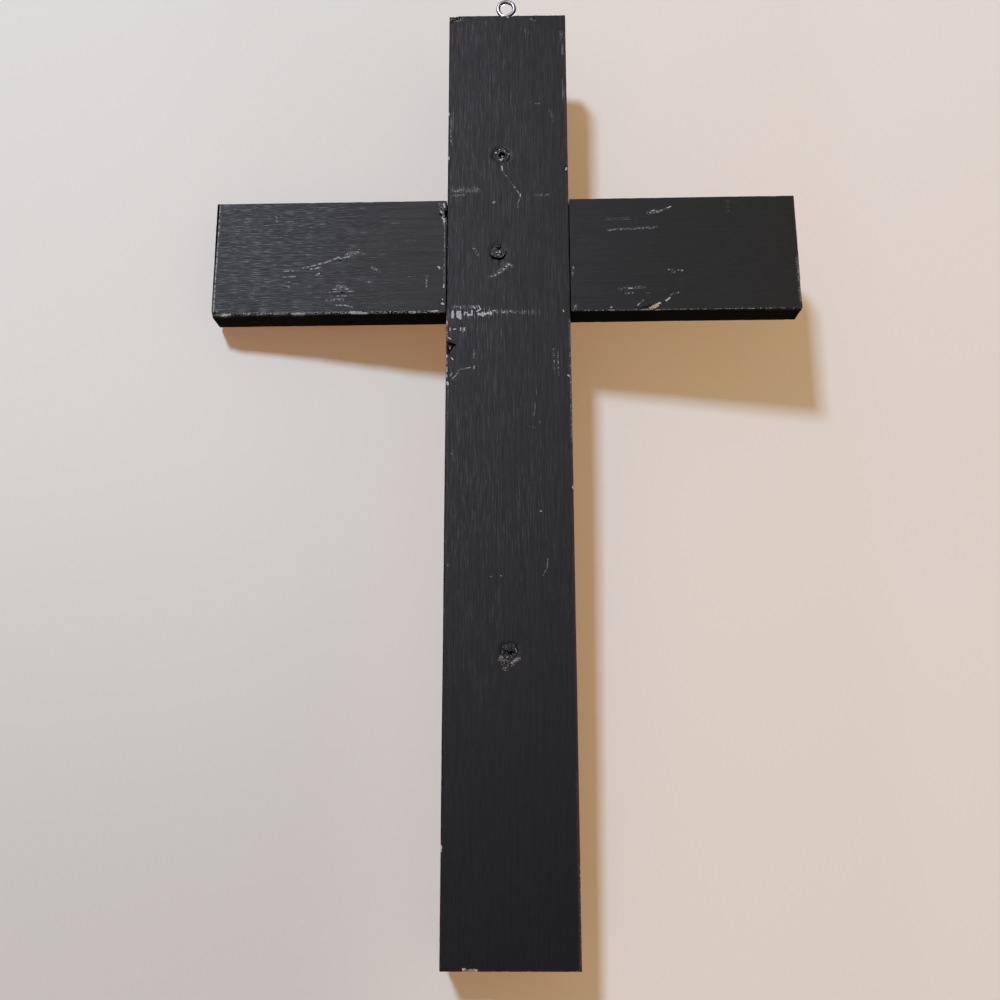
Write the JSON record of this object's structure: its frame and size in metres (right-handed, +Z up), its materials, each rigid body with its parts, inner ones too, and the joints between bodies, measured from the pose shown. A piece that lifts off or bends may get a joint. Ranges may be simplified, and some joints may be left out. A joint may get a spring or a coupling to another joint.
{
  "type": "wall cross",
  "caption": "Black-painted wooden wall cross: a post and a crossbar half-lapped flush, screws sunk in its back and a screw eye in its top end to hang it by.",
  "frame": {"origin": "the middle of the screw eye's ring, where the nail or hook passes", "axes": "+Z up along the post, +Y out of the back, towards the wall, -Y out of the front"},
  "size_m": [0.3024, 0.016, 0.4982],
  "materials": {
    "post_paint": "satin black brush paint over softwood, scuffed and chipped at the edges",
    "crossbar_paint": "satin black brush paint over softwood, scuffed, with pale dust in the grain",
    "screw_steel": "painted over in satin black, bare steel at the recess",
    "eye_zinc": "bright zinc plate"
  },
  "bodies": {
    "root": {"post": "post_paint", "crossbar": "crossbar_paint", "screw_top": "screw_steel", "screw_cross": "screw_steel", "screw_foot": "screw_steel", "screw_eye": "eye_zinc"}
  },
  "joints": []
}
